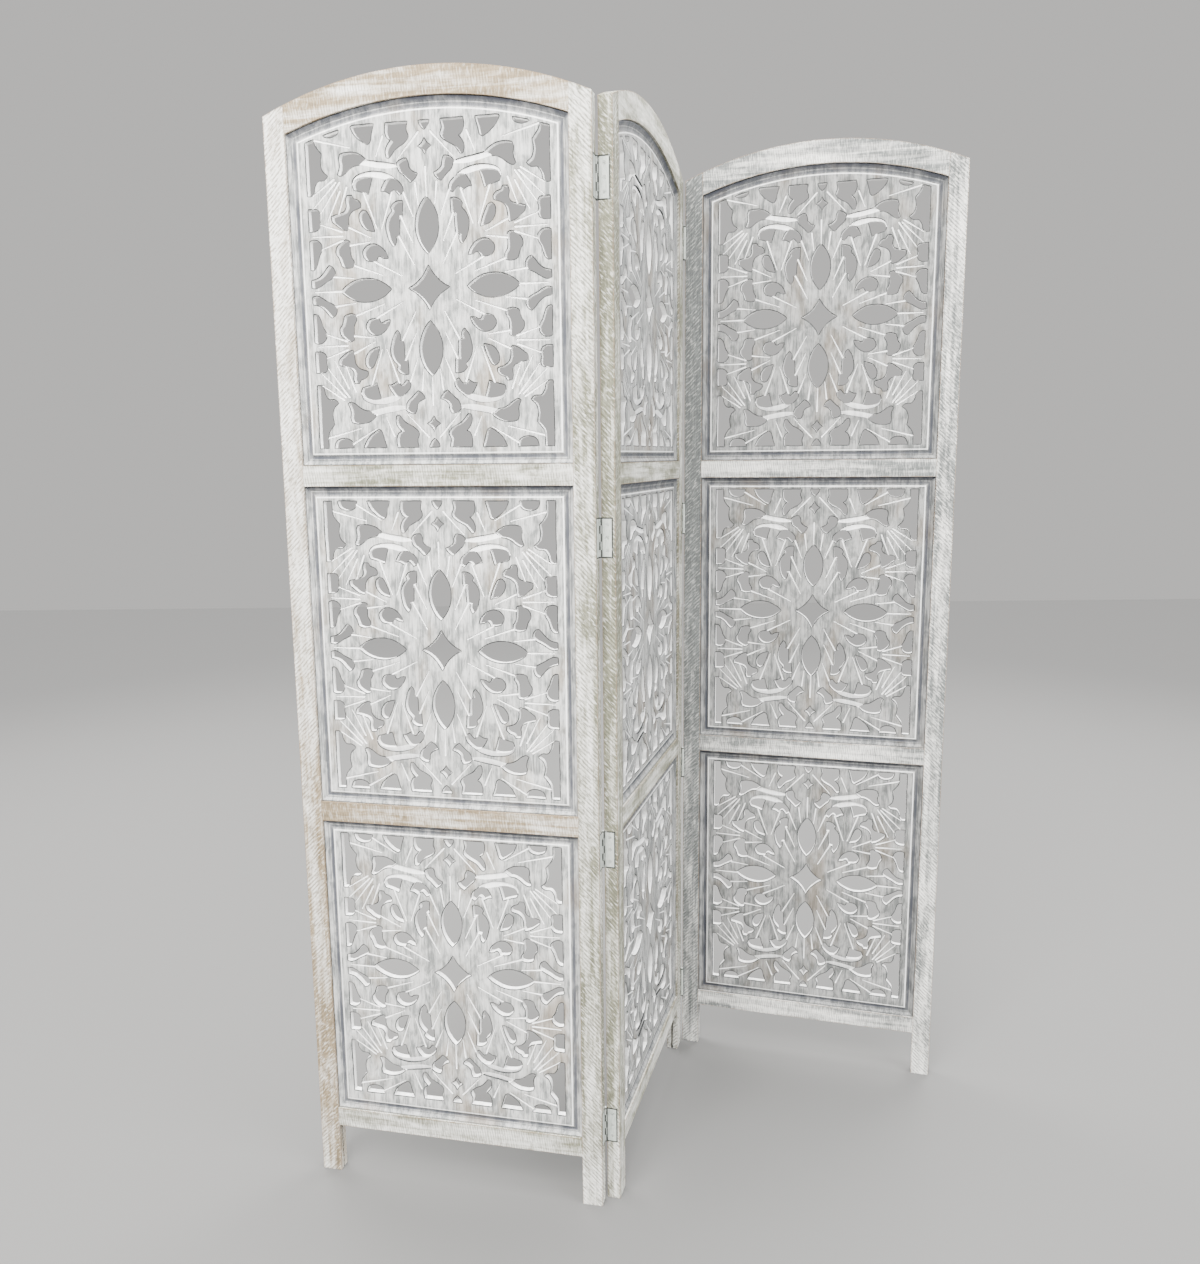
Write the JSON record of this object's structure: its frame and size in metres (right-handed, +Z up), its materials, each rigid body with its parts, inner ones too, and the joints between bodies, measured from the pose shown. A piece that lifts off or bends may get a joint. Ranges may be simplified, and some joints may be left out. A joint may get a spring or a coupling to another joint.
{
  "type": "folding screen",
  "caption": "Free-standing folding screen of hinged, arch-topped wooden leaves with pierced, carved panels; stands on flat feet and folds flat.",
  "frame": {"origin": "on the floor, at the middle of the box round the screen as it stands", "axes": "+Z up; -Y is the front, the side that the picture shows; +X to the viewer's right"},
  "size_m": [1.1652, 0.5296, 1.81],
  "materials": {
    "frame_wood": "whitewashed, sawn and worn",
    "carved_panel": "whitewashed, fretted and carved",
    "hinge_plate": "painted over, worn",
    "hinge_pin": "dull",
    "screw": "dull, partly painted"
  },
  "bodies": {
    "left_leaf": {"left_leaf_left_stile": "frame_wood", "left_leaf_right_stile": "frame_wood", "left_leaf_top_rail": "frame_wood", "left_leaf_upper_rail": "frame_wood", "left_leaf_lower_rail": "frame_wood", "left_leaf_bottom_rail": "frame_wood", "left_leaf_top_panel": "carved_panel", "left_leaf_middle_panel": "carved_panel", "left_leaf_lower_panel": "carved_panel", "left_fold_first_hinge_left_plate": "hinge_plate", "left_fold_second_hinge_left_plate": "hinge_plate", "left_fold_third_hinge_left_plate": "hinge_plate", "left_fold_fourth_hinge_left_plate": "hinge_plate", "left_fold_left_screws": "screw"},
    "middle_leaf": {"middle_leaf_left_stile": "frame_wood", "middle_leaf_right_stile": "frame_wood", "middle_leaf_top_rail": "frame_wood", "middle_leaf_upper_rail": "frame_wood", "middle_leaf_lower_rail": "frame_wood", "middle_leaf_bottom_rail": "frame_wood", "middle_leaf_top_panel": "carved_panel", "middle_leaf_middle_panel": "carved_panel", "middle_leaf_lower_panel": "carved_panel", "left_fold_first_hinge_middle_plate": "hinge_plate", "left_fold_first_hinge_pin": "hinge_pin", "left_fold_second_hinge_middle_plate": "hinge_plate", "left_fold_second_hinge_pin": "hinge_pin", "left_fold_third_hinge_middle_plate": "hinge_plate", "left_fold_third_hinge_pin": "hinge_pin", "left_fold_fourth_hinge_middle_plate": "hinge_plate", "left_fold_fourth_hinge_pin": "hinge_pin", "left_fold_middle_screws": "screw", "right_fold_first_hinge_middle_plate": "hinge_plate", "right_fold_first_hinge_pin": "hinge_pin", "right_fold_second_hinge_middle_plate": "hinge_plate", "right_fold_second_hinge_pin": "hinge_pin", "right_fold_third_hinge_middle_plate": "hinge_plate", "right_fold_third_hinge_pin": "hinge_pin", "right_fold_fourth_hinge_middle_plate": "hinge_plate", "right_fold_fourth_hinge_pin": "hinge_pin", "right_fold_middle_screws": "screw"},
    "right_leaf": {"right_leaf_left_stile": "frame_wood", "right_leaf_right_stile": "frame_wood", "right_leaf_top_rail": "frame_wood", "right_leaf_upper_rail": "frame_wood", "right_leaf_lower_rail": "frame_wood", "right_leaf_bottom_rail": "frame_wood", "right_leaf_top_panel": "carved_panel", "right_leaf_middle_panel": "carved_panel", "right_leaf_lower_panel": "carved_panel", "right_fold_first_hinge_right_plate": "hinge_plate", "right_fold_second_hinge_right_plate": "hinge_plate", "right_fold_third_hinge_right_plate": "hinge_plate", "right_fold_fourth_hinge_right_plate": "hinge_plate", "right_fold_right_screws": "screw"}
  },
  "joints": [
    {"name": "left_fold", "type": "hinge", "parent": "middle_leaf", "child": "left_leaf", "pos_m": [-0.08006, -0.24058, 0.9], "axis": [0, 0, 1], "range_deg": [-94, 86]},
    {"name": "right_fold", "type": "hinge", "parent": "middle_leaf", "child": "right_leaf", "pos_m": [0.08696, 0.24104, 0.9], "axis": [0, 0, 1], "range_deg": [-90, 90]}
  ]
}
